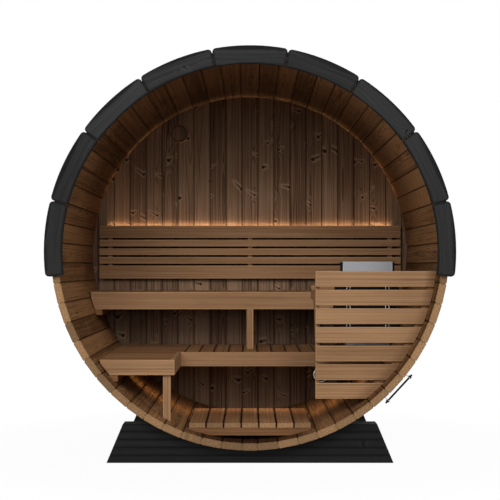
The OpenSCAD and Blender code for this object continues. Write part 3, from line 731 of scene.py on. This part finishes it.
def round_edges(bm, edges, width, segments):
    bmesh.ops.bevel(
        bm, geom=edges, offset=width, offset_type="OFFSET", segments=segments, profile=0.5,
        affect="EDGES", clamp_overlap=True, material=-1,
    )


def ease(bm, width):
    """Rounds the corners of a mesh."""
    round_edges(bm, [e for e in bm.edges if e.is_manifold and e.calc_face_angle() > CORNER], width, 2)


def put_object(name, data):
    """Links a new object to the scene."""
    made = bpy.data.objects.new(name, data)
    bpy.context.scene.collection.objects.link(made)
    return made


def area_lamp(name, size, watts, place, turn):
    """A rectangular lamp at a place, turned by three angles."""
    lamp = bpy.data.lights.new(name, "AREA")
    lamp.shape = "RECTANGLE"
    lamp.size, lamp.size_y = size
    lamp.energy = watts
    holder = put_object(name, lamp)
    holder.location = place
    holder.rotation_euler = turn
    return lamp


def place_piece(bm, name, material, smooth=False, second=None):
    """Puts a finished bmesh in the scene as a piece that rides on the barrel."""
    mesh = bpy.data.meshes.new(name)
    bm.to_mesh(mesh)
    bm.free()
    mesh.materials.append(material)
    if second:
        mesh.materials.append(second)
    if smooth:
        mesh.shade_smooth()
        mesh.set_sharp_from_angle(angle=CORNER)
    piece = put_object(name, mesh)
    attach(piece, "root")
    return piece


def plane_boards(node, run, material, rounding, rift=False, pale=0.0):
    """Replaces a CAD node of boards by the same boards with eased edges and their own grain."""
    bm = merged_copy(node)
    ease(bm, rounding)
    write_boards(bm, run, node, rift, pale)
    piece = place_piece(bm, node + "_planed", material)
    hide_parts(node)


def coat_node(node, material):
    """Gives a CAD node that keeps its shape a new material."""
    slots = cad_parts[node].data.materials
    slots.clear()
    slots.append(material)


def stave_timber():
    t = timber()
    return timber_material("Stave timber", t.stave_light, t.stave_dark, t.softwood_knots, wear=0.85,
                           reach=0.009, end=t.end_grain, shading=shaded_staves,
                           figure=1.4, streaks=115.0)


def wall_timber():
    t = timber()
    return timber_material("Wall timber", t.wall_light, t.wall_dark, t.wall_knots, wear=0.85,
                           reach=0.006, shading=shaded_wall,
                           figure=1.15, streaks=130.0, spread=0.5)


def vent_timber():
    t = timber()
    return timber_material("Vent timber", t.wall_light, t.wall_dark, knots=0.0, wear=0.3,
                           shading=shaded_vent, streaks=130.0, spread=0.2)


def bench_timber():
    t = timber()
    # Bench timber carries a painted highlight along the edges of its boards
    return timber_material("Bench timber", t.bench_light, t.bench_dark, t.bench_knots, wear=0.55,
                           reach=0.007, end=t.bench_end, shading=shaded_bench,
                           rub=[min(1.0, c * 1.12) for c in t.bench_light],
                           figure=1.3, streaks=140.0, bend=0.02, spread=0.35)


def slat_timber():
    t = timber()
    return timber_material("Slat timber", t.slat_light, t.slat_dark, t.bench_knots, wear=0.8,
                           end=t.bench_end, shading=shaded_bench,
                           figure=1.3, streaks=140.0, bend=0.02, spread=0.35)


def frame_timber():
    t = timber()
    return timber_material("Bearer timber", t.frame_light, t.frame_dark, t.softwood_knots, wear=0.4)


def band_steel():
    return metal_material("Band steel", finish().steel, roughness=0.34, brushed=(60.0, 900.0, 60.0))


class SAUNA_OT_staves(bpy.types.Operator):
    """Plane the staves and the boards of the back wall"""

    bl_idname = "sauna.staves"
    bl_label = "Staves and back wall"

    # Painted light: these staves get paler boards so they look more lit
    pale = {"staves_right_high": 0.7, "staves_left": 0.25}

    def execute(self, context):
        for node in STAVE_NODES:
            plane_boards(node, "stave", stave_timber(), sizes().board_ease,
                         pale=self.pale.get(node, 0.0))
        plane_boards("back_wall", "z", wall_timber(), sizes().board_ease)
        return {"FINISHED"}


class SAUNA_OT_edge_boards(bpy.types.Operator):
    """Round and stain the curved edge boards"""

    bl_idname = "sauna.edge_boards"
    bl_label = "Edge boards"

    def execute(self, context):
        stain = stained_material("Charcoal stain", finish().edge_stain, timber().stain_knots, lift=0.3,
                                 shading=stain_darker_lower)
        for node in ("front_edge_boards", "back_edge_boards"):
            bm = merged_copy(node)
            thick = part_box(node)[1].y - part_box(node)[0].y
            upright = [e for e in bm.edges if abs(e.verts[0].co.y - e.verts[1].co.y) > thick / 2
                       and e.calc_face_angle() > CORNER]
            round_edges(bm, upright, sizes().edge_corner, 4)
            ease(bm, sizes().edge_ease)
            write_boards(bm, "arc", node)
            piece = place_piece(bm, node + "_rounded", stain)
            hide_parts(node)
        return {"FINISHED"}


class SAUNA_OT_cradles(bpy.types.Operator):
    """Stain the beams of the cradles"""

    bl_idname = "sauna.cradles"
    bl_label = "Cradles"

    def execute(self, context):
        stain = stained_material("Black stain", finish().cradle_stain, timber().stain_knots, lift=0.3)
        for node in ("front_cradle", "rear_cradle"):
            plane_boards(node, "x", stain, sizes().slat_ease)
        return {"FINISHED"}


class SAUNA_OT_benches(bpy.types.Operator):
    """Plane the benches, backrest, floor grate, heater guard and wooden vent"""

    bl_idname = "sauna.benches"
    bl_label = "Benches, grate, guard and wooden vent"

    fine = (
        "backrest_slats", "backrest_battens", "upper_bench_apron", "lower_bench_apron", "side_bench_aprons",
        "bench_posts", "guard_slats", "guard_bracket", "guard_shelf",
    )
    slats = ("upper_bench_slats", "lower_bench_slats", "side_bench_slats", "floor_slats")
    bearers = ("upper_bench_bearers", "lower_bench_bearers", "floor_bearers")
    # Painted light: the upper apron and the posts get paler boards so they look more lit
    pale = {"upper_bench_apron": 0.7, "bench_posts": 0.7}

    def execute(self, context):
        for node in self.fine:
            plane_boards(node, "long", bench_timber(), sizes().slat_ease, rift=True,
                         pale=self.pale.get(node, 0.0))
        for node in self.slats:
            plane_boards(node, "long", slat_timber(), sizes().slat_ease, rift=True)
        for node in self.bearers:
            plane_boards(node, "long", frame_timber(), sizes().slat_ease)
        plane_boards("guard_rib", "arc", frame_timber(), sizes().slat_ease)
        plane_boards("wood_vent", "z", vent_timber(), sizes().slat_ease)
        return {"FINISHED"}


class SAUNA_OT_steel(bpy.types.Operator):
    """Finish the bands, tensioners and the steel vent"""

    bl_idname = "sauna.steel"
    bl_label = "Bands and steel vent"

    def execute(self, context):
        coat_node("steel_bands", band_steel())
        bright = metal_material("Vent steel", shade(222, 222, 224), roughness=0.12,
                                brushed=(90.0, 90.0, 90.0), shading=shaded_bore)
        coat_node("steel_vent", bright)
        self.tensioners()
        low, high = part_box("steel_vent")
        middle = (low + high) / 2
        rear = [v.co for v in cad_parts["steel_vent"].data.vertices if v.co.y > high.y - 0.001]
        reach = max(math.hypot(co.x - middle.x, co.z - middle.z) for co in rear)
        self.screen("vent_screen", middle, WALL_FACE + 0.012, (high.x - low.x) * 0.41, side=-1)
        self.screen("vent_cowl", middle, high.y + 0.0015, reach * 0.96, side=1)
        return {"FINISHED"}

    def tensioners(self):
        """Lugs of band steel, and darker rods with their nuts, which are less than half as deep."""
        bm = merged_copy("band_tensioners")
        solids = islands(bm)
        depths = [max(v.co.y for v in solid) - min(v.co.y for v in solid) for solid in solids]
        for solid, depth in zip(solids, depths):
            if depth < max(depths) / 2:
                for face in {face for vert in solid for face in vert.link_faces}:
                    face.material_index = 1
        ease(bm, sizes().sheet_ease)
        rods = metal_material("Rod steel", finish().rod_steel, roughness=0.5, brushed=(300.0, 300.0, 300.0))
        piece = place_piece(bm, "band_tensioners_eased", band_steel(),
                            smooth=True, second=rods)
        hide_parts("band_tensioners")

    def screen(self, name, middle, depth, radius, side):
        """A dark screen with louvers in one end of the steel vent; side is -1 in front and 1 behind."""
        louvers, plate, stand = 5, 0.002, 0.005
        chord, blade, sheet = 0.97, 0.012, 0.0012
        lean = Matrix.Rotation(math.radians(40 * side), 4, "X")
        bm = bmesh.new()
        turn = Matrix.Translation((middle.x, depth, middle.z)) @ Matrix.Rotation(math.pi / 2, 4, "X")
        bmesh.ops.create_cone(bm, cap_ends=True, segments=48, radius1=radius, radius2=radius, depth=plate,
                              matrix=turn)
        for k in range(louvers):
            rise = radius * (2 * (k + 0.5) / louvers - 1) * 0.9
            length = 2 * math.sqrt(radius ** 2 - rise ** 2) * chord
            spot = Matrix.Translation((middle.x, depth + stand * side, middle.z + rise))
            shape = Matrix.Diagonal((length, blade, sheet, 1))
            bmesh.ops.create_cube(bm, size=1.0, matrix=spot @ lean @ shape)
        dark = metal_material("Vent screen", shade(22, 22, 23), roughness=0.6,
                              brushed=(200.0, 200.0, 200.0), metallic=0.3)
        place_piece(bm, name, dark)


class SAUNA_OT_roof(bpy.types.Operator):
    """Lay courses of shingles over the roof covering, and caps along the ridge"""

    bl_idname = "sauna.roof"
    bl_label = "Roof shingles"

    def execute(self, context):
        coat_node("roof_covering", granule_material("Roofing felt", finish().felt))
        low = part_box("roof_covering")[0]
        self.eave = ROOF_R * math.acos((low.z - AXIS_Z) / ROOF_R)
        self.dice = random.Random("shingles")
        bm = bmesh.new()
        self.tone = bm.verts.layers.float.new("tone")
        self.courses(bm)
        self.ridge(bm)
        bmesh.ops.solidify(bm, geom=bm.faces[:], thickness=-sizes().shingle_thickness)
        for vert in bm.verts:
            angle, reach = vert.co.x / ROOF_R, ROOF_R + vert.co.z
            vert.co = (reach * math.sin(angle), vert.co.y, AXIS_Z + reach * math.cos(angle))
        bmesh.ops.recalc_face_normals(bm, faces=bm.faces)
        place_piece(bm, "roof_shingles", granule_material("Shingle", finish().shingle))
        return {"FINISHED"}

    def courses(self, bm):
        """Both sides of the roof, drawn flat: x runs round the barrel, y along it and z outwards."""
        z = sizes()
        overlap, ragged = 1.25, 0.002
        count = round(self.eave / z.shingle_reach)
        reach = self.eave / count
        tabs = round((BACK - FRONT) / z.shingle_width)
        width = (BACK - FRONT) / tabs
        for side in (-1, 1):
            for course in range(count):
                cuts = [FRONT + width * (i + (course % 2) / 2) for i in range(tabs)] + [BACK]
                cuts = sorted({FRONT, *cuts})
                outer = self.eave - course * reach
                for start, end in zip(cuts, cuts[1:]):
                    self.tab(bm, side, outer + self.dice.uniform(-ragged, 0.0), outer - reach * overlap,
                             start + z.shingle_slot / 2, end - z.shingle_slot / 2)

    def tab(self, bm, side, outer, inner, start, end):
        """One tab: its lower edge lifted over the course below, its upper edge flat on the felt."""
        clear, lift = 0.0006, 0.0052
        made = bmesh.ops.create_grid(bm, x_segments=3, y_segments=1, size=0.5)["verts"]
        own = self.dice.random()
        for vert in made:
            share = vert.co.x + 0.5
            vert.co = (side * (inner + (outer - inner) * share), start + (end - start) * (vert.co.y + 0.5),
                       clear + lift * share)
            vert[self.tone] = own

    def ridge(self, bm):
        """Caps bent over the ridge, each one lifted over the next."""
        reach, step, overlap, clear, lift, inset = 0.15, 0.2, 1.3, 0.0075, 0.004, 0.001
        count = math.ceil((BACK - FRONT) / step)
        step = (BACK - FRONT) / count
        for i in range(count):
            made = bmesh.ops.create_grid(bm, x_segments=6, y_segments=2, size=0.5)["verts"]
            own = self.dice.random()
            start = FRONT + i * step + inset
            end = min(start + step * overlap, BACK - inset)
            for vert in made:
                share = 0.5 - vert.co.y
                vert.co = (reach * 2 * vert.co.x, start + (end - start) * (vert.co.y + 0.5),
                           clear + lift * share)
                vert[self.tone] = own


class SAUNA_OT_heater(bpy.types.Operator):
    """Finish the heater and fill its basket with stones"""

    bl_idname = "sauna.heater"
    bl_label = "Heater"

    def execute(self, context):
        coat = metal_material("Heater coat", finish().heater_black, roughness=0.6,
                              brushed=(300.0, 300.0, 300.0), metallic=0.0, specular=0.1)
        core = metal_material("Heater steel", finish().heater_steel, roughness=0.4,
                              brushed=(20.0, 20.0, 900.0))
        chrome = metal_material("Polished steel", shade(214, 214, 216), roughness=0.16,
                                brushed=(200.0, 200.0, 200.0))
        for node, material in (
            ("heater_shield", coat), ("heater_hanger", coat),
            ("heater_core", core), ("heater_loops", chrome),
        ):
            coat_node(node, material)
        self.flanges(band_steel())
        self.stones()
        return {"FINISHED"}

    def flanges(self, steel):
        """Bright strips down both edges of the core's face."""
        low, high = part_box("heater_core")
        width, proud = sizes().flange_width, 0.0015
        bm = bmesh.new()
        for edge, inward in ((low.x, 1), (high.x, -1)):
            place = Matrix.Translation((edge + inward * width / 2, low.y + proud / 2, (low.z + high.z) / 2))
            size = Matrix.Diagonal((width, 3 * proud, (high.z - low.z) * 0.9, 1))
            bmesh.ops.create_cube(bm, size=1.0, matrix=place @ size)
        ease(bm, proud * 0.9)
        place_piece(bm, "heater_flanges", steel)

    def stones(self):
        """Broken stones, heaped layer by layer in the basket."""
        low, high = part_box("heater_stones")
        size = sizes().stone_size
        pitch = size * 0.92
        dice = random.Random("stones")
        bm = bmesh.new()
        tone = bm.verts.layers.float.new("tone")
        across = [max(1, round((high[i] - low[i]) / pitch)) for i in range(3)]
        for cell in itertools.product(*(range(count) for count in across)):
            spot = [low[n] + (high[n] - low[n]) * (cell[n] + 0.5) / across[n] for n in range(3)]
            self.stone(bm, Vector(spot), size, dice, tone, low, high)
        material = granule_material("Heater stone", finish().stone)
        piece = place_piece(bm, "heater_stone_heap", material, smooth=True)
        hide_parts("heater_stones")

    def stone(self, bm, spot, size, dice, tone, low, high):
        """One broken stone, kept within the basket."""
        made = bmesh.ops.create_icosphere(bm, subdivisions=2, radius=size / 2)["verts"]
        seed = Vector([dice.uniform(0, 50) for _ in range(3)])
        stretch = Vector([dice.uniform(0.85, 1.2) for _ in range(3)])
        turn = Matrix.Rotation(dice.uniform(0, 6.3), 3, "Z") @ Matrix.Rotation(dice.uniform(0, 6.3), 3, "X")
        own = dice.random()
        shift = Vector([dice.uniform(-0.1, 0.1) * size for _ in range(3)])
        for vert in made:
            rough = 1 + 0.45 * noise.noise(vert.co * (1.1 / size) + seed)
            co = turn @ (vert.co * stretch * rough) + spot + shift
            vert.co = [min(max(co[n], low[n]), high[n]) for n in range(3)]
            vert[tone] = own


class SAUNA_OT_lights(bpy.types.Operator):
    """Light the strips behind the backrest and under the lower bench"""

    bl_idname = "sauna.lights"
    bl_label = "Light strips"

    def execute(self, context):
        material, w, shader = new_material("Light diffuser")
        place = w.place()
        dots = w.noise(w.vector("MULTIPLY", place, (90.0, 0.0, 0.0)), detail=0.0)
        glow = w.mix(dots, linear(finish().glow), linear(shade(255, 214, 160)))
        w.set(shader, "Base Color", glow)
        w.set(shader, "Emission Color", glow)
        w.set(shader, "Emission Strength", 1.2)
        coat_node("light_strips", material)
        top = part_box("backrest_slats")[1]
        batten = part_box("backrest_battens")
        gap = batten[1].y - batten[0].y
        spot = (0, batten[0].y + gap * 0.25, top.z - 0.012)
        width = gap * 0.4
        # Name, part of the power, lean towards the wall and spread in degrees
        for name, share, lean, spread in (
            ("backrest_line", 0.39, 42, 70), ("backrest_glow", 0.05, 10, 28),
            ("backrest_rise", 0.13, 0, 42), ("backrest_top", 0.2, 0, 22),
        ):
            self.strip(name, (2 * batten[1].x, width), share, spot, 180 - lean, spread)
        # The strip's two ends light the staves above them
        for name, side in (("backrest_end_left", -1), ("backrest_end_right", 1)):
            end = (side * (batten[1].x - 0.14), *spot[1:])
            self.strip(name, (0.2, width), 0.024, end, turn=183, spread=70, roll=20 * side)
        under = (0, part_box("light_strips")[0].y + 0.03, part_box("lower_bench_slats")[0].z - 0.03)
        self.strip("bench_glow", (1.3, 0.02), 1.05, under, turn=0, spread=150)
        return {"FINISHED"}

    def strip(self, name, size, share, place, turn, spread, roll=0):
        """A lamp that shines down, turned from there about its length and rolled sideways, in degrees."""
        angles = (math.radians(turn), math.radians(roll), 0)
        lamp = area_lamp(name, size, studio().strip * share, place, angles)
        lamp.spread = math.radians(spread)
        lamp.color = linear(finish().glow)[:3]


class SAUNA_OT_stage(bpy.types.Operator):
    """Set up the floor, the studio light and the camera"""

    bl_idname = "sauna.stage"
    bl_label = "Stage"

    floor_radius = 40
    floor_gap = 0.0005
    floor_bounced = (0.15, 0.15, 0.15, 1)
    floor_seen = (0.85, 0.85, 0.85, 1)
    white = (1, 1, 1, 1)

    def execute(self, context):
        self.floor()
        self.sky(context)
        self.lamps()
        self.camera(context)
        return {"FINISHED"}

    def floor(self):
        """A wide disc that is near white where it is seen, and keeps the barrel's shadow."""
        bm = bmesh.new()
        bmesh.ops.create_circle(bm, cap_ends=True, segments=96, radius=self.floor_radius)
        material, w, shader = new_material("Studio floor")
        seen = w.seen()
        # For bounced light the floor is grey, so it lights no undersides
        w.set(shader, "Base Color", w.mix(seen, self.floor_bounced, self.floor_seen))
        w.set(shader, "Roughness", 0.9)
        w.set(shader, "Specular IOR Level", 0.0)
        far = w.scaled(w.ramp(w.vector("LENGTH", w.place()), 1.2, 2.2), 0.04, 0.96)
        glow = w.node("ShaderNodeEmission", Color=self.white, Strength=1.0)
        blend = w.node("ShaderNodeMixShader", Fac=w.times(far, seen))
        w.set(blend, 1, shader.outputs[0])
        w.set(blend, 2, glow.outputs[0])
        output = [n for n in w.tree.nodes if n.type == "OUTPUT_MATERIAL"][0]
        w.set(output, "Surface", blend.outputs[0])
        mesh = bpy.data.meshes.new("studio_floor")
        bm.to_mesh(mesh)
        bm.free()
        mesh.materials.append(material)
        floor = put_object("studio_floor", mesh)
        floor.location.z = CAD_BOX[0][2] - self.floor_gap

    def sky(self, context):
        """White where it is seen, and a weak even light otherwise."""
        world = bpy.data.worlds.new("Studio")
        context.scene.world = world
        world.use_nodes = True
        world.node_tree.nodes.clear()
        w = Wiring(world.node_tree)
        strength = w.scaled(w.seen(), 1.0 - studio().sky, studio().sky)
        sky = w.node("ShaderNodeBackground", Color=self.white, Strength=strength)
        w.node("ShaderNodeOutputWorld", Surface=sky.outputs[0])

    def lamps(self):
        """Wide softboxes in front, high and low, one from each side that reaches in, and one behind."""
        for name, place, size, share in (
            ("key", (-1.2, FRONT - 15.0, 9.6), (15.0, 6.8), 1.0),
            ("fill", (-0.8, FRONT - 15.2, 4.9), (13.5, 6.8), 0.75),
            ("left", (-9.0, FRONT - 4.0, 1.9), (3.5, 3.5), 0.15),
            ("right", (8.3, FRONT - 5.0, 6.6), (3.5, 3.5), 0.2),
            ("rear", (3.0, BACK + 13.0, 8.0), (14.0, 6.8), 1.1),
        ):
            aim = Vector((0, 0, AXIS_Z)) - Vector(place)
            area_lamp(name, size, studio().key * share, place, aim.to_track_quat("-Z", "Y").to_euler())

    def camera(self, context):
        """A level camera in front, shifted to the photograph's horizon."""
        s = studio()
        lens = bpy.data.cameras.new("camera")
        lens.sensor_width = 36.0
        lens.lens = lens.sensor_width * s.focal_pixels / s.frame_pixels
        lens.shift_y = s.horizon_drop / s.frame_pixels
        lens.clip_end = 200
        holder = put_object("camera", lens)
        holder.location = (0, FRONT - s.camera_distance, s.eye_height)
        holder.rotation_euler = (math.pi / 2, 0, 0)
        context.scene.camera = holder
        context.scene.view_settings.view_transform = "Standard"


STEPS = (
    SAUNA_OT_staves, SAUNA_OT_edge_boards, SAUNA_OT_roof, SAUNA_OT_steel, SAUNA_OT_cradles,
    SAUNA_OT_benches, SAUNA_OT_heater, SAUNA_OT_lights, SAUNA_OT_stage,
)


class SAUNA_PT_panel(bpy.types.Panel):
    """Lists the steps and their settings"""

    bl_idname = "SAUNA_PT_panel"
    bl_label = "Barrel sauna"
    bl_space_type = "VIEW_3D"
    bl_region_type = "UI"
    bl_category = "Sauna"

    def draw(self, context):
        for step in STEPS:
            self.layout.operator(step.bl_idname)
        for group in (timber(), finish(), sizes(), studio()):
            box = self.layout.box()
            for name in group.__annotations__:
                box.prop(group, name)


GROUPS = {
    "sauna_timber": SaunaTimber, "sauna_finish": SaunaFinish,
    "sauna_sizes": SaunaSizes, "sauna_stage": SaunaStage,
}


def register():
    for cls in (*GROUPS.values(), *STEPS, SAUNA_PT_panel):
        bpy.utils.register_class(cls)
    for name, cls in GROUPS.items():
        setattr(bpy.types.Scene, name, bpy.props.PointerProperty(type=cls))


def unregister():
    for name in GROUPS:
        delattr(bpy.types.Scene, name)
    for cls in (SAUNA_PT_panel, *reversed(STEPS), *reversed(GROUPS.values())):
        bpy.utils.unregister_class(cls)


def main():
    register()
    for step in STEPS:
        area, name = step.bl_idname.split(".")
        getattr(getattr(bpy.ops, area), name)()


if __name__ == "__main__":
    main()
